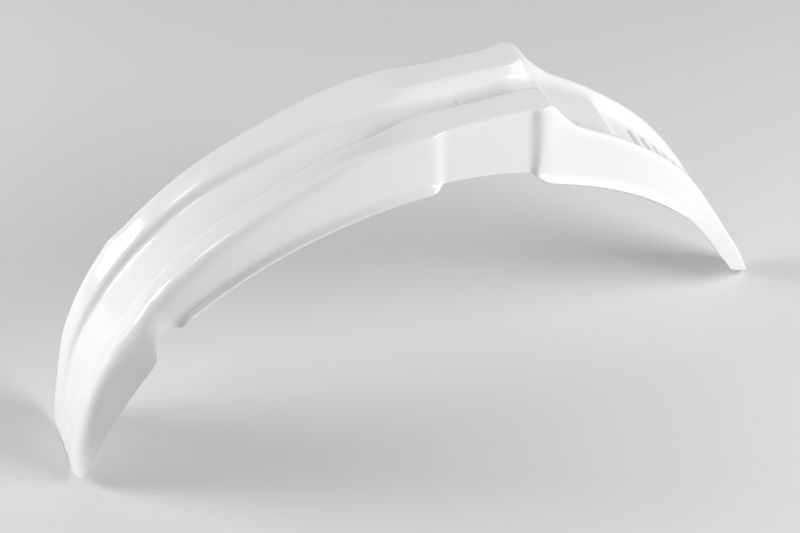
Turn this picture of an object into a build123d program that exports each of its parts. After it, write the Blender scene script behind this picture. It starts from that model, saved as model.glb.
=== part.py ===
"""Motocross front mudguard: one thin-walled polypropylene moulding, modelled in millimetres.

Every section is drawn in a plane through the wheel axle line and given as (half width, radius).
Stations are angles about that line: 0 is the top, negative towards the nose, positive to the tail.
The whole arch then leans a little about the same line, so that nose and tail stand level on a floor.
"""
import math
import os

from build123d import *

# Moulding
wall = 2.6
lean = 0.8

# Stations in degrees
nose_tip = -75.0
wing_rear = -47.0
flange_front = -41.5
notch_front = 0.0
notch_rear = 13.4
rail_end = 15.0
ridge = 17.6
crease = 27.0
recess_end = 48.0
tail_tip = 73.5

# Radius of the arch at the crest of its front half, and drops and rises from it
arch_radius = 424.0
nose_drop = 47.0
wing_drop = 10.0
rail_rise = 5.0
ridge_rise = 3.5
crease_drop = 13.5
tail_bend_drop = 48.0
tail_tip_drop = 46.0
front_side = 48.5
rear_side = 59.5

# Half widths
nose_half = 54.0
body_half = 59.0
notch_half = 52.0
ridge_half = 50.0
crease_half = 44.5
recess_half = 32.0
tail_half = 18.0

# Widths of the side features
wing_flare = 15.0
flange_width = 8.5
nose_shoulder = 26.0
front_shoulder = 33.5
rail_width = 34.0
deck_shoulder = 11.5
tail_shoulder = 9.0

# Depths of the trough, the valley between the rails, the deck and the recess
trough_wall = 7.0
trough_depth = 15.5
rail_depth = 15.0
deck_depth = 6.3
recess_depth = 15.0

# Roundings, given as the reach of each rounding along its two sides
crest_round = 13.0
rail_round = 5.5
step_round = 4.5
foot_round = 5.0

# Cuts
rail_skim = 0.6
slot_count = 5
slot_length = 38.0
slot_width = 4.0
slot_first = 35.2
slot_last = 46.6
nose_round = 24.0
tail_round = 45.0
gate_diameter = 7.0
gate_height = 0.5
gate_place = 46.0


def guide(*keys):
    """A smooth curve through (station, value) keys that never overshoots its keys."""
    at = [k[0] for k in keys]
    to = [k[1] for k in keys]
    rise = [(to[i + 1] - to[i]) / (at[i + 1] - at[i]) for i in range(len(at) - 1)]
    slope = [0.0] * len(at)
    for i in range(1, len(at) - 1):
        if rise[i - 1] * rise[i] > 0:
            slope[i] = 2 * rise[i - 1] * rise[i] / (rise[i - 1] + rise[i])
    slope[0] = rise[0]
    slope[-1] = rise[-1]

    def value(a):
        a = min(max(a, at[0]), at[-1])
        i = max(j for j in range(len(at) - 1) if at[j] <= a)
        span = at[i + 1] - at[i]
        u = (a - at[i]) / span
        near = (1 + 2 * u) * (1 - u) ** 2 * to[i] + u * (1 - u) ** 2 * span * slope[i]
        far = u * u * (3 - 2 * u) * to[i + 1] - u * u * (1 - u) * span * slope[i + 1]
        return near + far

    return value


def level(height, a):
    """Radius at which a station meets a horizontal plane."""
    return height / math.cos(math.radians(a + lean))


def between(a, start, end):
    u = min(max((a - start) / (end - start), 0.0), 1.0)
    return u * u * (3 - 2 * u)


rail_height = arch_radius + rail_rise
rail_from = notch_front - 3.0
skimmed = rail_height + rail_skim
step_in = (notch_front - 0.9, notch_front + 1.0)
step_out = (notch_rear - 0.8, notch_rear + 0.8)

crest_half = guide(
    (nose_tip, nose_half), (-58, body_half - 2), (-33, body_half), (-9, body_half - 2.5),
    (step_in[0], body_half - 3), (step_in[1], notch_half), (step_out[0], notch_half - 0.5),
    (step_out[1], notch_half + 2), (ridge, ridge_half), (crease, crease_half), (38.4, crease_half - 6.5),
    (recess_end, recess_half), (61, tail_half + 7), (tail_tip, tail_half - 1))
crest_drop = guide(
    (nose_tip, nose_drop), (-66, nose_drop - 12.5), (-58, nose_drop - 25.5), (wing_rear, wing_drop),
    (-33, 3.5), (-20, 0.0), (-10, -6.0), (rail_from, arch_radius - level(skimmed, rail_from)),
    (4, arch_radius - level(skimmed, 4)), (9, arch_radius - level(skimmed, 9)),
    (rail_end - 1, arch_radius - level(skimmed, rail_end - 1)), (ridge, -ridge_rise), (21, crease_drop - 6.5),
    (crease, crease_drop), (38, crease_drop + 10.5), (46, crease_drop + 21.5), (53, tail_bend_drop - 4),
    (61, tail_bend_drop), (68, tail_bend_drop - 1.5), (tail_tip, tail_tip_drop))
floor_depth = guide(
    (nose_tip, 1.0), (-66, 4.0), (-58, 8.0), (wing_rear, trough_depth - 3), (-33, trough_depth - 3),
    (-24, trough_depth), (-12, trough_depth + 2.5), (rail_from, rail_depth + 2),
    (notch_front, rail_depth + 0.6), (11, rail_depth + 0.8), (rail_end, rail_depth + 2),
    (ridge, deck_depth + 3.2), (ridge + 0.9, deck_depth + 4.7), (21, deck_depth),
    (crease, deck_depth), (crease + 3.5, recess_depth), (36, recess_depth - 1), (recess_end - 1, 6.5),
    (recess_end + 3, 2.5), (tail_tip, 1.5))
shoulder = guide(
    (nose_tip, nose_shoulder), (-55, nose_shoulder + 0.5), (-40, front_shoulder - 4), (-20, front_shoulder),
    (-9, front_shoulder + 2.5), (step_in[0], rail_width + body_half - 3 - notch_half),
    (step_in[1], rail_width), (step_out[0], rail_width - 0.5), (step_out[1], rail_width),
    (ridge, deck_shoulder + 4.5), (crease, deck_shoulder), (recess_end, tail_shoulder - 1),
    (61, tail_shoulder + 1), (tail_tip, tail_shoulder))
step_height = guide(
    (nose_tip, 0.3), (-66, 2.0), (-58, 4.0), (wing_rear, trough_wall - 1), (-38, trough_wall),
    (ridge, trough_wall * 0.5), (ridge + 1.5, 1.2), (crease, 1.0), (crease + 3.5, recess_depth * 0.55),
    (36, recess_depth * 0.5), (recess_end - 1, 4.0), (recess_end + 3, 1.0), (61, 0.4), (tail_tip, 0.3))
step_run = guide((nose_tip, 6.0), (-20, 5.0), (notch_front, 4.0), (rail_end - 2, 4.0), (ridge, 9.0),
                 (crease, 6.0), (recess_end, 5.0), (tail_tip, 3.0))
rounding = guide((nose_tip, crest_round * 0.6), (-60, crest_round), (-16, crest_round), (-2, rail_round),
                 (rail_end - 1, rail_round), (crease, crest_round * 0.6), (recess_end, rail_round),
                 (tail_tip, rail_round))
foot_half = guide(
    (nose_tip, nose_half + 2), (-66.6, nose_half + 3.5), (-61, nose_half + 7.5),
    (-54, body_half + wing_flare - 7), (wing_rear, body_half + wing_flare),
    (wing_rear + 1.6, body_half + wing_flare - 2), (flange_front - 0.7, body_half + 6), (-39, body_half + 5),
    (-15, body_half + 1.5), (step_in[0], body_half + 0.5), (step_in[1], notch_half + 3.6),
    (step_out[0], notch_half + 4.3), (step_out[1], notch_half + 7),
    (25, crease_half + 8.5), (33, crease_half + 5), (42, recess_half + 13.5), (50, recess_half + 7),
    (61, tail_half + 11), (tail_tip, tail_half + 2))
foot_drop = guide(
    (nose_tip, nose_drop + 3), (-66.6, nose_drop + 2), (-58, nose_drop), (-51, nose_drop - 5),
    (wing_rear - 0.6, nose_drop - 10), (-44.3, front_side - 21), (-43, front_side - 19.5),
    (flange_front, front_side - 12.5), (-35, front_side - 8.5), (-24, front_side - 3.5), (-12, front_side),
    (step_out[0], front_side + 0.8), (ridge, front_side + 6.5), (25, rear_side - 0.5), (44, rear_side + 0.5),
    (56, rear_side + 4.5), (61, rear_side + 5), (68, rear_side + 1), (tail_tip, rear_side - 6))
lip_length = guide(
    (nose_tip, 5.0), (-50, 6.5), (wing_rear - 0.6, 6.5), (-44.5, 2.5), (-43, 2.5),
    (flange_front, flange_width - 1), (-39.5, flange_width), (step_in[0] - 0.6, flange_width),
    (step_in[1] - 0.3, 3.0), (step_out[0] + 0.3, 3.0), (step_out[1] + 0.8, flange_width - 1.5),
    (40, flange_width - 2), (50, 3.5), (tail_tip, 3.0))
lip_droop = guide(
    (nose_tip, 72.0), (wing_rear, 68.0), (-44.5, 75.0), (-43, 70.0), (-39.5, 10.0), (step_in[0] - 0.6, 10.0),
    (step_in[1] - 0.3, 85.0), (step_out[0] + 0.3, 85.0), (step_out[1] + 0.8, 26.0), (40, 28.0), (50, 78.0),
    (tail_tip, 80.0))


def half_corners(a):
    """Corners of the outer skin at one station, from the foot of the trough to the free edge."""
    railed = between(a, rail_from - 5, notch_front - 0.5) * (1 - between(a, rail_end - 1.5, ridge))
    crest = arch_radius - crest_drop(a)
    floor = crest - floor_depth(a)
    inner = crest_half(a) - shoulder(a)
    step = (floor + step_height(a)) * (1 - railed) + crest * railed
    foot = (foot_half(a), arch_radius - foot_drop(a))
    droop = math.radians(lip_droop(a))
    edge = (foot[0] + lip_length(a) * math.cos(droop), foot[1] - lip_length(a) * math.sin(droop))
    return [(inner - step_run(a), floor), (inner, step), (crest_half(a), crest), foot, edge]


def skin(corners, reaches, depth):
    """Straight runs and roundings of a skin lying the given depth under a row of corners."""
    runs = []
    for p, q in zip(corners, corners[1:]):
        size = math.hypot(q[0] - p[0], q[1] - p[1])
        runs.append(((q[0] - p[0]) / size, (q[1] - p[1]) / size, size))

    def under(point, run):
        return (point[0] + run[1] * depth, point[1] - run[0] * depth)

    chain = []
    start = under(corners[0], runs[0])
    for i in range(1, len(corners) - 1):
        a, b = runs[i - 1], runs[i]
        reach = min(reaches[i], 0.46 * a[2], 0.46 * b[2])
        c = corners[i]
        enter = under((c[0] - a[0] * reach, c[1] - a[1] * reach), a)
        leave = under((c[0] + b[0] * reach, c[1] + b[1] * reach), b)
        share = depth / (1 + a[0] * b[0] + a[1] * b[1])
        tip = (c[0] + (a[1] + b[1]) * share, c[1] - (a[0] + b[0]) * share)
        bend = abs(math.atan2(a[0] * b[1] - a[1] * b[0], a[0] * b[0] + a[1] * b[1]))
        pull = 2 / 3 if bend < 0.02 else 4 / 3 * math.tan(bend / 4) / math.tan(bend / 2)
        first = tuple(e + (t - e) * pull for e, t in zip(enter, tip))
        second = tuple(e + (t - e) * pull for e, t in zip(leave, tip))
        chain.append((start, enter))
        chain.append((enter, first, second, leave))
        start = leave
    chain.append((start, under(corners[-1], runs[-1])))
    return chain


def draw(chain):
    for points in chain:
        if len(points) == 2:
            Line(*points)
        else:
            Bezier(*points)


def station_plane(a):
    """Section plane at a station: local x is to the side, local y runs outwards from the axle line."""
    turn = math.radians(a + lean)
    return Plane(origin=(0, 0, 0), x_dir=(0, 1, 0), z_dir=(math.cos(turn), 0, -math.sin(turn)))


def tangent_plane(a, radius):
    """Plane lying on the skin at a station: local x is to the side, local y runs towards the tail."""
    turn = math.radians(a + lean)
    out = (math.sin(turn), 0, math.cos(turn))
    return Plane(origin=(radius * out[0], 0, radius * out[2]), x_dir=(0, -1, 0), z_dir=out)


# Each zone is the station it starts at, the one it ends at and how many sections it is drawn with
zones = [(nose_tip, -52, 5), (-52, -38, 11), (-38, -4, 7), (-4, 3, 8), (3, 11, 3), (11, 20, 11), (20, 26, 3),
         (26, 31, 4), (31, 45, 5), (45, 51, 3), (51, tail_tip, 5)]
stations = [start + (end - start) * i / count for start, end, count in zones for i in range(count)]
stations.append(tail_tip)

with BuildPart() as mudguard:
    for a in stations:
        half = half_corners(a)
        across = [(-y, r) for y, r in reversed(half)] + half
        roll = [0, foot_round, rounding(a), step_round, step_round]
        reaches = roll + roll[::-1]
        outer = skin(across, reaches, 0.0)
        inner = skin(across, reaches, wall)
        with BuildSketch(station_plane(a)):
            with BuildLine():
                draw(outer)
                Line(outer[-1][-1], inner[-1][-1])
                draw(inner)
                Line(inner[0][0], outer[0][0])
            make_face()
    loft()

    # Skim the rails to the flat seats that the steering clamp bears on
    with BuildSketch(Plane.XY.offset(rail_height)):
        with Locations((55, 0)):
            Rectangle(240, 160)
    extrude(amount=30, mode=Mode.SUBTRACT)

    # Drain slots across the recess floor
    for i in range(slot_count):
        a = slot_first + (slot_last - slot_first) * i / (slot_count - 1)
        with BuildSketch(tangent_plane(a, arch_radius - crest_drop(a) - floor_depth(a))):
            SlotOverall(slot_length, slot_width)
        extrude(amount=12, both=True, mode=Mode.SUBTRACT)

    # Gate mark left on the valley floor by the injection point
    with BuildSketch(Plane.XY.offset(rail_height - rail_depth - wall / 2)):
        with Locations((gate_place, 0)):
            Circle(gate_diameter / 2)
    extrude(amount=wall / 2 + gate_height)

    # Round the two free ends to half an ellipse each
    nose_end = (nose_tip, nose_half + 5.5, nose_round, 1)
    tail_end = (tail_tip, tail_half + 8, tail_round, -1)
    for a, half, length, way in (nose_end, tail_end):
        with BuildSketch(tangent_plane(a, arch_radius - crest_drop(a))):
            Rectangle(2 * half + 60, 2 * length)
            with Locations((0, way * length)):
                Ellipse(half, length, mode=Mode.SUBTRACT)
        extrude(amount=40, both=True, mode=Mode.SUBTRACT)

box = mudguard.part.bounding_box()
with BuildPart() as placed:
    add(mudguard.part.moved(Location((-(box.min.X + box.max.X) / 2, 0, -box.min.Z))))
placed.part.label = "mudguard"

os.makedirs("parts", exist_ok=True)
export_step(placed.part, "parts/mudguard.step")
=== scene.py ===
"""Motocross front mudguard: its moulded shell in glossy white plastic, on a pale studio floor."""

import math
from collections import namedtuple

import bmesh
import bpy
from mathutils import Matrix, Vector


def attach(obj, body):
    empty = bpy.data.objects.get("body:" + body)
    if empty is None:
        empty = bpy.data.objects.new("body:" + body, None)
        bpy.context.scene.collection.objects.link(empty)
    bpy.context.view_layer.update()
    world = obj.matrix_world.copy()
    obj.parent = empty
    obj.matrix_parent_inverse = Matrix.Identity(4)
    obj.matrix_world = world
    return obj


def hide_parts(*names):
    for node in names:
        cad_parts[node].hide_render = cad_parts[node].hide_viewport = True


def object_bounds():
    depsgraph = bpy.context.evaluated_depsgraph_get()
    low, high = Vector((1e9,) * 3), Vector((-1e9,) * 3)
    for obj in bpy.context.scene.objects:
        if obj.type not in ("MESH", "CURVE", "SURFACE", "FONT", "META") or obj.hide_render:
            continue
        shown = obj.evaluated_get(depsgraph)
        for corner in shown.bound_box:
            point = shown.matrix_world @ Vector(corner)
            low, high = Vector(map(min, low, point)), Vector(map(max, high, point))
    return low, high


bl_info = {
    "name": "Motocross Mudguard Looks",
    "version": (1, 0, 0),
    "blender": (4, 5, 0),
    "location": "3D View > Sidebar > Mudguard",
    "description": "Makes the mudguard's moulded white shell and sets it in a plain studio",
    "category": "Object",
}

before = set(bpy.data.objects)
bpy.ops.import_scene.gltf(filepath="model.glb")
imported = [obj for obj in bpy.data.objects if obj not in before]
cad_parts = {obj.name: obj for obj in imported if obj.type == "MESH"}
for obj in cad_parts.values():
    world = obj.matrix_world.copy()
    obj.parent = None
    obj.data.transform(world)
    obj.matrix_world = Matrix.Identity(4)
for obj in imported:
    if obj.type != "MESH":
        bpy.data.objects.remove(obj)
CAD_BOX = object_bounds()
MOULDING = "mudguard"
PLASTIC = "White moulded plastic"
IMAGE_WIDTH = 800
SENSOR_MM = 36.0
MM = 0.001

# The sizes below are in millimetres, and the angles in degrees, as in the CAD part

# Angle by which the whole arch leans about the wheel axle, and stations along it about that axle
lean = 0.8
nose_tip = -75.0
wing_rear = -47.0
flange_front = -41.5
notch_front = 0.0
notch_rear = 13.4
rail_end = 15.0
ridge = 17.6
crease = 27.0
recess_end = 48.0
tail_tip = 73.5

# Radius of the arch at the crest of its front half, and drops and rises from it
arch_radius = 424.0
nose_drop = 47.0
wing_drop = 10.0
rail_rise = 5.0
ridge_rise = 3.5
crease_drop = 13.5
tail_bend_drop = 48.0
tail_tip_drop = 46.0
front_side = 48.5
rear_side = 59.5

# Half widths, and how far the dome of the nose draws its crest in
nose_half = 54.0
nose_dome = 14.0
body_half = 59.0
notch_half = 52.0
ridge_half = 50.0
crease_half = 44.5
recess_half = 32.0
tail_half = 18.0

# Widths of the side features
wing_flare = 15.0
flange_width = 8.5
nose_shoulder = 26.0
front_shoulder = 33.5
rail_width = 34.0
deck_shoulder = 11.5
tail_shoulder = 9.0

# Depths of the trough, the valley between the rails, the deck and the recess
trough_wall = 7.0
trough_depth = 15.5
rail_depth = 15.0
deck_depth = 6.3
recess_depth = 15.0

# Roundings, given as the reach of each rounding along its two sides
crest_round = 13.0
rail_round = 5.5
step_round = 6.5
foot_round = 5.0

# Rear step of the notch: how far its top and its foot are turned to make it upright, and the stretch it bends
step_lean = 1.05
step_zone = 8.0

# Flat tops of the rails, and drain slots
rail_skim = 0.6
slot_count = 5
slot_length = 38.0
slot_width = 9.5
slot_first = 35.2
slot_last = 46.6

# Place of the gate mark, behind the axle
gate_place = 46.0

# Grid of the shell: degrees between its rows, and points along each straight run and each rounding
row_step = 0.5
run_points = 5
round_points = 6
round_share = 0.48

# Rounded ends: where each starts, its length, how far its curve spreads past the section, and how full it is
nose_zone = -56.0
nose_round = 24.0
nose_spread = 3.8
nose_fullness = 2.6
tail_zone = 58.0
tail_round = 47.0
tail_spread = 7.6
tail_fullness = 1.85

# Trim that keeps the rounded rim of both ends inside the CAD box, and passes that find where each end is cut
end_trim = 0.2
end_passes = 8

# Easing of the folds: full ahead of a station on the nose, a small share between the side walls
ease_full = -68.0
ease_small = 0.12
ease_factor = 0.5
ease_passes = 40

# Finish of the edges: segments of a rounding, the angle from which an edge is sharp, sides of the gate mark
rim_segments = 3
edge_angle = 50.0
mark_sides = 48

RoundedEnd = namedtuple("RoundedEnd", "tip zone half length fullness")
nose_end = RoundedEnd(nose_tip, nose_zone, nose_half + nose_spread, nose_round, nose_fullness)
tail_end = RoundedEnd(tail_tip, tail_zone, tail_half + tail_spread, tail_round, tail_fullness)

# Lamps, in metres: where each stands, the point it faces, and the size of its panel
Lamp = namedtuple("Lamp", "place aim width height")
LAMPS = {
    "left": Lamp((-1.9, 0.9, 0.65), (-0.25, 0.0, 0.15), 0.7, 0.5),
    "right": Lamp((1.38, -1.1, 1.25), (0.15, 0.0, 0.2), 1.1, 0.9),
    "high": Lamp((-1.5, 0.5, 1.5), (-0.2, 0.0, 0.2), 0.7, 0.5),
}


def guide(*keys):
    """A smooth curve through (station, value) keys that never overshoots its keys."""
    at = [k[0] for k in keys]
    to = [k[1] for k in keys]
    rise = [(to[i + 1] - to[i]) / (at[i + 1] - at[i]) for i in range(len(at) - 1)]
    slope = [0.0] * len(at)
    for i in range(1, len(at) - 1):
        if rise[i - 1] * rise[i] > 0:
            slope[i] = 2 * rise[i - 1] * rise[i] / (rise[i - 1] + rise[i])
    slope[0] = rise[0]
    slope[-1] = rise[-1]

    def value(a):
        a = min(max(a, at[0]), at[-1])
        i = max(j for j in range(len(at) - 1) if at[j] <= a)
        span = at[i + 1] - at[i]
        u = (a - at[i]) / span
        near = (1 + 2 * u) * (1 - u) ** 2 * to[i] + u * (1 - u) ** 2 * span * slope[i]
        far = u * u * (3 - 2 * u) * to[i + 1] - u * u * (1 - u) * span * slope[i + 1]
        return near + far

    return value


def level(height, a):
    """Radius at which a station meets a horizontal plane."""
    return height / math.cos(math.radians(a + lean))


def between(a, start, end):
    """Goes smoothly from 0 at the start to 1 at the end."""
    u = min(max((a - start) / (end - start), 0.0), 1.0)
    return u * u * (3 - 2 * u)


def mix(p, q, share):
    """Point on the line from p to q."""
    return tuple(a + (b - a) * share for a, b in zip(p, q))


rail_height = arch_radius + rail_rise
rail_from = notch_front - 3.0
skimmed = rail_height + rail_skim
step_in = (notch_front - 0.9, notch_front + 1.0)
step_out = (notch_rear - 0.6, notch_rear + 0.6)
foot_out = (notch_rear + step_lean - 0.8, notch_rear + step_lean + 0.8)

crest_half = guide(
    (nose_tip, nose_half - nose_dome), (-66, nose_half - nose_dome / 2), (-58, body_half - 4),
    (-33, body_half), (-9, body_half - 2.5), (step_in[0], body_half - 3), (step_in[1], notch_half),
    (step_out[0], notch_half - 1), (step_out[1], notch_half + 3), (ridge, ridge_half),
    (crease, crease_half), (38.4, crease_half - 6.5), (recess_end, recess_half), (61, tail_half + 7),
    (tail_tip, tail_half - 1))
crest_drop = guide(
    (nose_tip, nose_drop), (-66, nose_drop - 12.5), (-58, nose_drop - 25.5), (wing_rear, wing_drop),
    (-33, 3.5), (-20, 0.0), (-10, -6.0), (rail_from, arch_radius - level(skimmed, rail_from)),
    (4, arch_radius - level(skimmed, 4)), (9, arch_radius - level(skimmed, 9)),
    (rail_end - 1, arch_radius - level(skimmed, rail_end - 1)), (ridge, -ridge_rise),
    (21, crease_drop - 6.5), (crease, crease_drop), (38, crease_drop + 10.5), (46, crease_drop + 21.5),
    (53, tail_bend_drop - 4), (61, tail_bend_drop), (68, tail_bend_drop - 1.5), (tail_tip, tail_tip_drop))
floor_depth = guide(
    (nose_tip, 1.0), (-66, 4.0), (-58, 8.0), (wing_rear, trough_depth - 3), (-33, trough_depth - 3),
    (-24, trough_depth), (-12, trough_depth + 2.5), (rail_from, rail_depth + 2),
    (notch_front, rail_depth + 0.6), (11, rail_depth + 0.8), (rail_end, rail_depth + 2),
    (ridge, deck_depth + 3.2), (ridge + 0.9, deck_depth + 4.7), (21, deck_depth),
    (crease, deck_depth), (crease + 3.5, recess_depth), (36, recess_depth - 1), (recess_end - 1, 6.5),
    (recess_end + 3, 2.5), (tail_tip, 1.5))
shoulder = guide(
    (nose_tip, nose_shoulder), (-55, nose_shoulder + 0.5), (-40, front_shoulder - 4), (-20, front_shoulder),
    (-9, front_shoulder + 2.5), (step_in[0], rail_width + body_half - 3 - notch_half),
    (step_in[1], rail_width), (step_out[0], rail_width - 1), (step_out[1], rail_width + 1),
    (ridge, deck_shoulder + 4.5), (crease, deck_shoulder), (recess_end, tail_shoulder - 1),
    (61, tail_shoulder + 1), (tail_tip, tail_shoulder))
step_height = guide(
    (nose_tip, 0.3), (-66, 2.0), (-58, 4.0), (wing_rear, trough_wall - 1), (-38, trough_wall),
    (ridge, trough_wall * 0.5), (ridge + 1.5, 1.2), (crease, 1.0), (crease + 3.5, recess_depth * 0.55),
    (36, recess_depth * 0.5), (recess_end - 1, 4.0), (recess_end + 3, 1.0), (61, 0.4), (tail_tip, 0.3))
step_run = guide(
    (nose_tip, 6.0), (-20, 5.0), (notch_front, 4.0), (rail_end - 2, 4.0), (ridge, 9.0), (crease, 6.0),
    (recess_end, 5.0), (tail_tip, 3.0))
rounding = guide(
    (nose_tip, crest_round * 1.6), (-60, crest_round * 1.3), (-16, crest_round), (-2, rail_round),
    (rail_end - 1, rail_round), (crease, crest_round * 0.6), (recess_end, rail_round), (tail_tip, rail_round))
foot_half = guide(
    (nose_tip, nose_half), (-66.6, nose_half + 2.8), (-61, nose_half + 7.5),
    (-54, body_half + wing_flare - 7), (wing_rear, body_half + wing_flare),
    (wing_rear + 1.6, body_half + wing_flare - 2), (flange_front - 0.7, body_half + 6),
    (-39, body_half + 5), (-15, body_half + 1.5), (step_in[0], body_half + 0.5),
    (step_in[1], notch_half + 3.6), (step_out[0], notch_half + 3.8), (step_out[1], notch_half + 8),
    (25, crease_half + 8.5), (33, crease_half + 5), (42, recess_half + 13.5), (50, recess_half + 7),
    (61, tail_half + 11), (tail_tip, tail_half + 2))
foot_drop = guide(
    (nose_tip, nose_drop + 3), (-66.6, nose_drop + 2), (-58, nose_drop), (-51, nose_drop - 5),
    (wing_rear - 0.6, nose_drop - 10), (-44.3, front_side - 21), (-43, front_side - 19.5),
    (flange_front, front_side - 12.5), (-35, front_side - 8.5), (-24, front_side - 3.5), (-12, front_side),
    (foot_out[0], front_side + 0.8), (ridge, front_side + 6.5), (25, rear_side - 0.5),
    (44, rear_side + 0.5), (56, rear_side + 4.5), (61, rear_side + 5), (68, rear_side + 1),
    (tail_tip, rear_side - 6))
lip_length = guide(
    (nose_tip, 5.0), (-50, 6.5), (wing_rear - 0.6, 6.5), (-44.5, 2.5), (-43, 2.5),
    (flange_front, flange_width - 1), (-39.5, flange_width), (step_in[0] - 0.6, flange_width),
    (step_in[1] - 0.3, 3.0), (foot_out[0] + 0.3, 3.0), (foot_out[1] + 0.8, flange_width - 1.5),
    (40, flange_width - 2), (50, 3.5), (tail_tip, 3.0))
lip_droop = guide(
    (nose_tip, 42.0), (-62, 60.0), (wing_rear, 68.0), (-44.5, 75.0), (-43, 70.0), (-39.5, 10.0),
    (step_in[0] - 0.6, 10.0), (step_in[1] - 0.3, 85.0), (foot_out[0] + 0.3, 85.0),
    (foot_out[1] + 0.8, 26.0), (40, 28.0), (50, 78.0), (tail_tip, 80.0))
slot_places = [slot_first + (slot_last - slot_first) * i / (slot_count - 1) for i in range(slot_count)]


def half_corners(a):
    """Corners of the outer skin at one station, from the foot of the trough to the free edge."""
    railed = between(a, rail_from - 5, notch_front - 0.5) * (1 - between(a, rail_end - 1.5, ridge))
    crest = arch_radius - crest_drop(a)
    floor = crest - floor_depth(a)
    inner = crest_half(a) - shoulder(a)
    step = (floor + step_height(a)) * (1 - railed) + crest * railed
    foot = (foot_half(a), arch_radius - foot_drop(a))
    droop = math.radians(lip_droop(a))
    edge = (foot[0] + lip_length(a) * math.cos(droop), foot[1] - lip_length(a) * math.sin(droop))
    return [(inner - step_run(a), floor), (inner, step), (crest_half(a), crest), foot, edge]


def stood_up(a, side, radius, half):
    """A point of the wall, moved sideways to make the rear step of the notch upright instead of radial."""
    inner, crest, foot = half[1:4]
    share = min(max((crest[1] - radius) / (crest[1] - foot[1]), 0.0), 1.0)
    hold = min(max((abs(side) - inner[0]) / (crest[0] - inner[0]), 0.0), 1.0)
    fade = 1 - between(abs(a - notch_rear), step_zone / 2, step_zone)
    taken_at = a - step_lean * (2 * share - 1) * fade
    at_crest = crest_half(taken_at) - crest_half(a)
    at_foot = foot_half(taken_at) - foot_half(a)
    return side + math.copysign(hold, side) * (at_crest + (at_foot - at_crest) * share), radius


def skin_points(a):
    """Outer skin at one station, as the same number of (side, radius) points at every station."""
    half = half_corners(a)
    corners = [(-y, r) for y, r in reversed(half)] + half
    reaches = [foot_round, rounding(a), step_round, step_round]
    points = []
    start = corners[0]
    for before, corner, after, reach in zip(corners, corners[1:], corners[2:], reaches + reaches[::-1]):
        back = math.dist(before, corner)
        ahead = math.dist(corner, after)
        reach = min(reach, round_share * back, round_share * ahead)
        enter = mix(corner, before, reach / back)
        leave = mix(corner, after, reach / ahead)
        points += [mix(start, enter, i / run_points) for i in range(run_points)]
        for i in range(round_points):
            u = i / round_points
            points.append(mix(mix(enter, corner, u), mix(corner, leave, u), u))
        start = leave
    points += [mix(start, corners[-1], i / run_points) for i in range(run_points + 1)]
    if abs(a - notch_rear) < step_zone:
        points = [stood_up(a, y, r, half) for y, r in points]
    top = level(rail_height, a) if rail_from - 4 < a < ridge else math.inf
    return [(y, min(r, top)) for y, r in points]


def end_station(column, end):
    """Station at which one column of the grid meets the curve that rounds an end."""
    a = end.tip
    for _ in range(end_passes):
        y, r = skin_points(a)[column]
        across = min(abs(y) / end.half, 1.0)
        back = end_trim + end.length * (1 - (1 - across ** end.fullness) ** (1 / end.fullness))
        a = end.tip + math.copysign(math.degrees(math.asin(back / r)), end.zone - end.tip)
    return a


def slot_edges(a):
    """Stations of the two long edges of the slot at a station."""
    turn = math.degrees(slot_width / 2 / (arch_radius - crest_drop(a) - floor_depth(a)))
    return a - turn, a + turn


def in_slot(a, y):
    """Whether a place on the skin lies in a drain slot."""
    return abs(y) < slot_length / 2 and any(low < a < high for low, high in map(slot_edges, slot_places))


def row_stations():
    """Stations of the rows: even steps, finer ones at the rear step, and a row on each edge of each slot."""
    edges = [edge for a in slot_places for edge in slot_edges(a)]
    count = round((tail_tip - nose_tip) / row_step)
    even = [nose_tip + (tail_tip - nose_tip) * i / count for i in range(count + 1)]
    fine = [a + row_step / 2 for a in even if abs(a - notch_rear) < step_zone / 2]
    clear = [a for a in even if min(abs(a - edge) for edge in edges) > row_step / 3]
    return sorted(edges + fine + clear)


def shell_rows():
    """Rows of (station, side, radius) over the whole outer skin, with both ends drawn in to their curves."""
    columns = len(skin_points(notch_front))
    ends = {end: [end_station(j, end) for j in range(columns)] for end in (nose_end, tail_end)}
    rows = []
    for a in row_stations():
        shares = {end: (a - end.zone) / (end.tip - end.zone) for end in ends}
        end = max(shares, key=shares.get)
        if shares[end] <= 0:
            rows.append([(a, y, r) for y, r in skin_points(a)])
            continue
        places = [end.zone + (last - end.zone) * shares[end] for last in ends[end]]
        rows.append([(place, *skin_points(place)[j]) for j, place in enumerate(places)])
    return rows


def shell_mesh():
    """Mesh of the outer skin, open at its rim and at the slots, with the easing's weight at each point."""
    axle = CAD_BOX[1][2] - rail_height * MM
    rows = shell_rows()
    mesh = bpy.data.meshes.new("moulded_shell")
    bm = bmesh.new()
    softness = bm.verts.layers.deform.verify()
    grid = []
    for row in rows:
        grid.append([])
        for j, (a, y, r) in enumerate(row):
            turn = math.radians(a + lean)
            vert = bm.verts.new((r * MM * math.sin(turn), y * MM, axle + r * MM * math.cos(turn)))
            inside = min(j, len(row) - 1 - j) - run_points - round_points
            on_nose = 1.0 - between(a, ease_full, nose_zone)
            vert[softness][0] = max(on_nose, ease_small * between(inside, 0, run_points))
            grid[-1].append(vert)
    for i in range(len(rows) - 1):
        for j in range(len(rows[0]) - 1):
            a = (rows[i][j][0] + rows[i + 1][j][0]) / 2
            y = (rows[i][j][1] + rows[i][j + 1][1]) / 2
            if not in_slot(a, y):
                bm.faces.new((grid[i][j], grid[i + 1][j], grid[i + 1][j + 1], grid[i][j + 1]))
    loose = [vert for vert in bm.verts if not vert.link_faces]
    bmesh.ops.delete(bm, geom=loose, context="VERTS")
    bm.to_mesh(mesh)
    bm.free()
    return mesh


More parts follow.
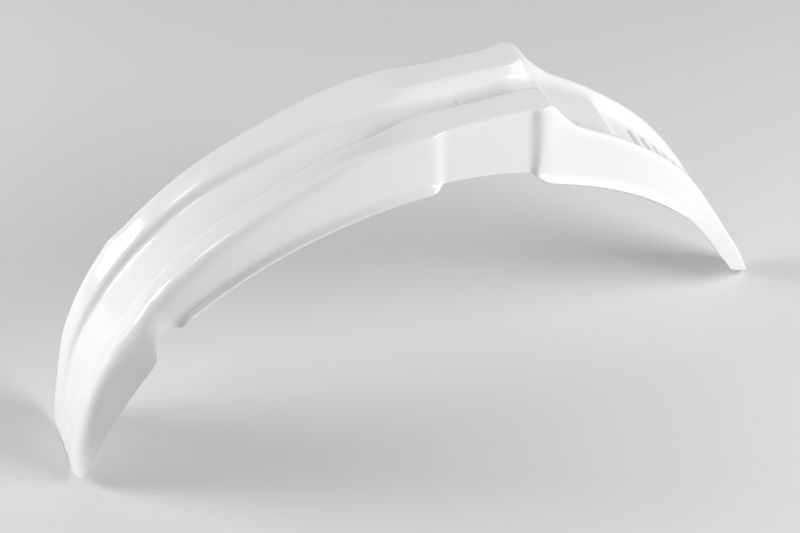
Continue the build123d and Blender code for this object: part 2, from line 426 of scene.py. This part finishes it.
def ease_folds(shell):
    """Eases the folds by the mesh's weights: most at the nose, a little elsewhere, none along the lips."""
    group = shell.vertex_groups.new(name="softness")
    ease = shell.modifiers.new("Eased folds", "CORRECTIVE_SMOOTH")
    ease.smooth_type = "LENGTH_WEIGHTED"
    ease.use_only_smooth = True
    ease.use_pin_boundary = True
    ease.vertex_group = group.name
    ease.factor = ease_factor
    ease.iterations = ease_passes


def thicken(shell, thickness):
    """Gives the skin its wall, inwards."""
    wall = shell.modifiers.new("Wall", "SOLIDIFY")
    wall.thickness = thickness
    wall.offset = -1.0
    wall.use_even_offset = True
    wall.use_quality_normals = True


def round_edges(piece, width):
    """Rounds the sharp edges of a piece."""
    rim = piece.modifiers.new("Rounded rim", "BEVEL")
    rim.width = width
    rim.segments = rim_segments
    rim.limit_method = "ANGLE"
    rim.angle_limit = math.radians(edge_angle)


def finish_piece(piece):
    """Applies the modifiers of the selected piece and smooths its shading."""
    for name in [modifier.name for modifier in piece.modifiers]:
        bpy.ops.object.modifier_apply(modifier=name)
    bpy.ops.object.shade_smooth_by_angle(angle=math.radians(edge_angle))


def only(obj):
    """Selects one object and makes it active."""
    bpy.ops.object.select_all(action="DESELECT")
    obj.select_set(True)
    bpy.context.view_layer.objects.active = obj


class ShellSettings(bpy.types.PropertyGroup):
    """Sizes of the moulding that its sections don't give."""

    wall_thickness: bpy.props.FloatProperty(
        name="Wall", description="Thickness of the moulded wall", unit="LENGTH", min=0.0005, default=0.0026)
    rim_rounding: bpy.props.FloatProperty(
        name="Rim rounding", description="Width of the rounding along every free edge", unit="LENGTH",
        min=0.0, default=0.0009)
    gate_diameter: bpy.props.FloatProperty(
        name="Gate mark", description="Diameter of the round mark of the mould's gate", unit="LENGTH",
        min=0.001, default=0.007)
    gate_height: bpy.props.FloatProperty(
        name="Gate mark height", description="How far the gate mark stands proud", unit="LENGTH",
        min=0.0001, default=0.0005)


class PlasticSettings(bpy.types.PropertyGroup):
    """Colour and surface of the moulded plastic."""

    colour: bpy.props.FloatVectorProperty(
        name="Plastic colour", description="Colour of the white pigment", subtype="COLOR", size=3,
        min=0.0, max=1.0, default=(0.862, 0.866, 0.856))
    warm_colour: bpy.props.FloatVectorProperty(
        name="Flow colour", description="Slightly warmer tone in the broad flow clouds of the moulding",
        subtype="COLOR", size=3, min=0.0, max=1.0, default=(0.845, 0.85, 0.832))
    gloss_roughness: bpy.props.FloatProperty(
        name="Polished roughness", description="Roughness where the mould was polished",
        min=0.0, max=1.0, default=0.13)
    satin_roughness: bpy.props.FloatProperty(
        name="Satin roughness", description="Roughness in the duller patches of the mould",
        min=0.0, max=1.0, default=0.20)
    grain_size: bpy.props.FloatProperty(
        name="Grain size", description="Size of the fine skin grain", unit="LENGTH",
        min=0.0001, default=0.0011)
    grain_height: bpy.props.FloatProperty(
        name="Grain height", description="Depth of the fine skin grain", unit="LENGTH",
        min=0.0, default=0.00001, precision=6)
    ripple_size: bpy.props.FloatProperty(
        name="Ripple size", description="Size of the soft ripple that cooling leaves", unit="LENGTH",
        min=0.001, default=0.055)
    ripple_height: bpy.props.FloatProperty(
        name="Ripple height", description="Depth of the cooling ripple", unit="LENGTH",
        min=0.0, default=0.00012, precision=6)


class StageSettings(bpy.types.PropertyGroup):
    """Floor, lamps and camera."""

    floor_colour: bpy.props.FloatVectorProperty(
        name="Floor colour", description="Colour of the studio floor", subtype="COLOR", size=3,
        min=0.0, max=1.0, default=(0.72, 0.72, 0.72))
    floor_size: bpy.props.FloatProperty(
        name="Floor size", description="Side of the square floor", unit="LENGTH", min=1.0, default=14.0)
    camera_place: bpy.props.FloatVectorProperty(
        name="Camera place", description="Where the lens stands", subtype="TRANSLATION", unit="LENGTH",
        size=3, default=(-0.55166, -1.54083, 1.64144))
    camera_turn: bpy.props.FloatVectorProperty(
        name="Camera turn", description="Rotation of the camera", subtype="EULER", unit="ROTATION", size=3,
        default=(math.radians(47.1277), math.radians(0.7522), math.radians(-19.9018)))
    focal_pixels: bpy.props.FloatProperty(
        name="Focal length in pixels", description="Focal length on an image 800 pixels wide",
        min=100.0, default=2300.0)
    sky_strength: bpy.props.FloatProperty(
        name="Room light", description="Strength of the even room light", min=0.0, default=0.30)
    left_power: bpy.props.FloatProperty(
        name="Left lamp", description="Power of the lamp beyond the nose", unit="POWER",
        min=0.0, default=25.0)
    right_power: bpy.props.FloatProperty(
        name="Right lamp", description="Power of the wide lamp beside the tail", unit="POWER",
        min=0.0, default=33.0)
    high_power: bpy.props.FloatProperty(
        name="High lamp", description="Power of the lamp high over the nose", unit="POWER",
        min=0.0, default=6.0)


def noise(group, place, detail):
    """Adds a noise over Object coordinates to a node group."""
    node = group.nodes.new("ShaderNodeTexNoise")
    node.inputs["Detail"].default_value = detail
    group.links.new(place.outputs["Object"], node.inputs["Vector"])
    return node


def moulding_skin_group():
    """Node group over Object coordinates: flow clouds, patchy gloss, and a height for ripple and grain."""
    group = bpy.data.node_groups.new("Moulding skin", "ShaderNodeTree")
    face = group.interface
    for name in ("Ripple scale", "Grain scale", "Ripple height", "Grain height"):
        face.new_socket(name, in_out="INPUT", socket_type="NodeSocketFloat")
    for name in ("Flow", "Gloss patches", "Height"):
        face.new_socket(name, in_out="OUTPUT", socket_type="NodeSocketFloat")
    nodes, links = group.nodes, group.links
    inputs = nodes.new("NodeGroupInput")
    outputs = nodes.new("NodeGroupOutput")
    place = nodes.new("ShaderNodeTexCoord")

    flow = noise(group, place, detail=3.0)
    flow.inputs["Scale"].default_value = 7.0
    links.new(flow.outputs["Fac"], outputs.inputs["Flow"])

    patches = noise(group, place, detail=5.0)
    patches.inputs["Scale"].default_value = 60.0
    patches.inputs["Roughness"].default_value = 0.6
    links.new(patches.outputs["Fac"], outputs.inputs["Gloss patches"])

    ripple = noise(group, place, detail=1.0)
    links.new(inputs.outputs["Ripple scale"], ripple.inputs["Scale"])
    deep = nodes.new("ShaderNodeMath")
    deep.operation = "MULTIPLY"
    links.new(ripple.outputs["Fac"], deep.inputs[0])
    links.new(inputs.outputs["Ripple height"], deep.inputs[1])

    grain = noise(group, place, detail=2.0)
    links.new(inputs.outputs["Grain scale"], grain.inputs["Scale"])
    fine = nodes.new("ShaderNodeMath")
    fine.operation = "MULTIPLY_ADD"
    links.new(grain.outputs["Fac"], fine.inputs[0])
    links.new(inputs.outputs["Grain height"], fine.inputs[1])
    links.new(deep.outputs[0], fine.inputs[2])
    links.new(fine.outputs[0], outputs.inputs["Height"])
    return group


def white_plastic_material(settings):
    """Glossy white polypropylene with faint flow clouds, uneven gloss and a soft cooling ripple."""
    material = bpy.data.materials.new(PLASTIC)
    material.use_nodes = True
    nodes, links = material.node_tree.nodes, material.node_tree.links
    shader = nodes["Principled BSDF"]
    shader.inputs["Specular IOR Level"].default_value = 0.5
    shader.inputs["IOR"].default_value = 1.49
    skin = nodes.new("ShaderNodeGroup")
    skin.node_tree = moulding_skin_group()
    skin.inputs["Ripple scale"].default_value = 1.0 / settings.ripple_size
    skin.inputs["Grain scale"].default_value = 1.0 / settings.grain_size
    skin.inputs["Ripple height"].default_value = settings.ripple_height
    skin.inputs["Grain height"].default_value = settings.grain_height

    tone = nodes.new("ShaderNodeMix")
    tone.data_type = "RGBA"
    tone.inputs["A"].default_value = (*settings.colour, 1.0)
    tone.inputs["B"].default_value = (*settings.warm_colour, 1.0)
    links.new(skin.outputs["Flow"], tone.inputs["Factor"])
    links.new(tone.outputs["Result"], shader.inputs["Base Color"])

    gloss = nodes.new("ShaderNodeMapRange")
    gloss.inputs["From Min"].default_value = 0.3
    gloss.inputs["From Max"].default_value = 0.7
    gloss.inputs["To Min"].default_value = settings.gloss_roughness
    gloss.inputs["To Max"].default_value = settings.satin_roughness
    links.new(skin.outputs["Gloss patches"], gloss.inputs["Value"])
    links.new(gloss.outputs["Result"], shader.inputs["Roughness"])

    bump = nodes.new("ShaderNodeBump")
    bump.inputs["Strength"].default_value = 1.0
    bump.inputs["Distance"].default_value = 1.0
    links.new(skin.outputs["Height"], bump.inputs["Height"])
    links.new(bump.outputs["Normal"], shader.inputs["Normal"])
    return material


class MUDGUARD_OT_moulding(bpy.types.Operator):
    """Make the moulded shell from its sections, in the place of the CAD solid"""

    bl_idname = "mudguard.moulding"
    bl_label = "Moulding"

    def execute(self, context):
        settings = context.scene.mudguard_shell
        shell = bpy.data.objects.new("moulded_shell", shell_mesh())
        context.collection.objects.link(shell)
        only(shell)
        ease_folds(shell)
        thicken(shell, settings.wall_thickness)
        round_edges(shell, settings.rim_rounding)
        finish_piece(shell)
        shell.data.materials.append(white_plastic_material(context.scene.mudguard_plastic))
        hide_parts(MOULDING)
        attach(shell, "root")
        return {"FINISHED"}


class MUDGUARD_OT_gate_mark(bpy.types.Operator):
    """Add the low round mark that the mould's gate leaves on the floor of the valley between the rails"""

    bl_idname = "mudguard.gate_mark"
    bl_label = "Gate mark"

    def execute(self, context):
        settings = context.scene.mudguard_shell
        valley_floor = CAD_BOX[1][2] - rail_depth * MM
        bpy.ops.object.select_all(action="DESELECT")
        bpy.ops.mesh.primitive_cylinder_add(
            vertices=mark_sides, radius=settings.gate_diameter / 2, depth=2 * settings.gate_height,
            location=(gate_place * MM, 0, valley_floor))
        mark = context.object
        mark.name = "gate_mark"
        bpy.ops.object.transform_apply()
        round_edges(mark, settings.gate_height / 2)
        finish_piece(mark)
        mark.data.materials.append(bpy.data.materials[PLASTIC])
        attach(mark, "root")
        return {"FINISHED"}


def floor_material(settings):
    """Dull pale grey of the studio floor."""
    material = bpy.data.materials.new("Studio floor")
    material.use_nodes = True
    shader = material.node_tree.nodes["Principled BSDF"]
    shader.inputs["Base Color"].default_value = (*settings.floor_colour, 1.0)
    shader.inputs["Roughness"].default_value = 0.9
    shader.inputs["Specular IOR Level"].default_value = 0.1
    return material


def area_lamp(name, lamp, power):
    """Adds a rectangular lamp that faces a point."""
    bpy.ops.object.light_add(type="AREA", location=lamp.place)
    light = bpy.context.object
    light.name = name
    light.data.shape = "RECTANGLE"
    light.data.size = lamp.width
    light.data.size_y = lamp.height
    light.data.energy = power
    light.rotation_euler = (Vector(lamp.aim) - Vector(lamp.place)).to_track_quat("-Z", "Y").to_euler()


class MUDGUARD_OT_stage(bpy.types.Operator):
    """Set the floor, the soft lamps and the camera"""

    bl_idname = "mudguard.stage"
    bl_label = "Stage"

    def execute(self, context):
        settings = context.scene.mudguard_stage
        bpy.ops.object.select_all(action="DESELECT")
        bpy.ops.mesh.primitive_plane_add(size=settings.floor_size, location=(0, 0, 0))
        floor = context.object
        floor.name = "studio_floor"
        floor.data.materials.append(floor_material(settings))

        world = bpy.data.worlds.new("Even room")
        world.use_nodes = True
        sky = world.node_tree.nodes["Background"]
        sky.inputs["Color"].default_value = (1, 1, 1, 1)
        sky.inputs["Strength"].default_value = settings.sky_strength
        context.scene.world = world

        powers = {"left": settings.left_power, "right": settings.right_power, "high": settings.high_power}
        for side, lamp in LAMPS.items():
            area_lamp("lamp_" + side, lamp, powers[side])

        bpy.ops.object.camera_add(location=settings.camera_place)
        camera = context.object
        camera.name = "photo_camera"
        camera.rotation_euler = settings.camera_turn
        camera.data.sensor_fit = "HORIZONTAL"
        camera.data.sensor_width = SENSOR_MM
        camera.data.lens = settings.focal_pixels / IMAGE_WIDTH * SENSOR_MM
        context.scene.camera = camera
        context.scene.view_settings.view_transform = "Standard"
        return {"FINISHED"}


class MUDGUARD_PT_sidebar(bpy.types.Panel):
    """Lists the mudguard's pieces and settings"""

    bl_idname = "MUDGUARD_PT_sidebar"
    bl_label = "Mudguard"
    bl_space_type = "VIEW_3D"
    bl_region_type = "UI"
    bl_category = "Mudguard"

    def draw(self, context):
        scene = context.scene
        for operator in (MUDGUARD_OT_moulding, MUDGUARD_OT_gate_mark, MUDGUARD_OT_stage):
            self.layout.operator(operator.bl_idname)
        for settings in (scene.mudguard_shell, scene.mudguard_plastic, scene.mudguard_stage):
            box = self.layout.box()
            for name in settings.bl_rna.properties.keys():
                if name not in {"rna_type", "name"}:
                    box.prop(settings, name)


CLASSES = (
    ShellSettings, PlasticSettings, StageSettings, MUDGUARD_OT_moulding, MUDGUARD_OT_gate_mark,
    MUDGUARD_OT_stage, MUDGUARD_PT_sidebar)


def register():
    for cls in CLASSES:
        bpy.utils.register_class(cls)
    bpy.types.Scene.mudguard_shell = bpy.props.PointerProperty(type=ShellSettings)
    bpy.types.Scene.mudguard_plastic = bpy.props.PointerProperty(type=PlasticSettings)
    bpy.types.Scene.mudguard_stage = bpy.props.PointerProperty(type=StageSettings)


def unregister():
    del bpy.types.Scene.mudguard_stage
    del bpy.types.Scene.mudguard_plastic
    del bpy.types.Scene.mudguard_shell
    for cls in reversed(CLASSES):
        bpy.utils.unregister_class(cls)


def main():
    register()
    bpy.ops.mudguard.moulding()
    bpy.ops.mudguard.gate_mark()
    bpy.ops.mudguard.stage()


if __name__ == "__main__":
    main()
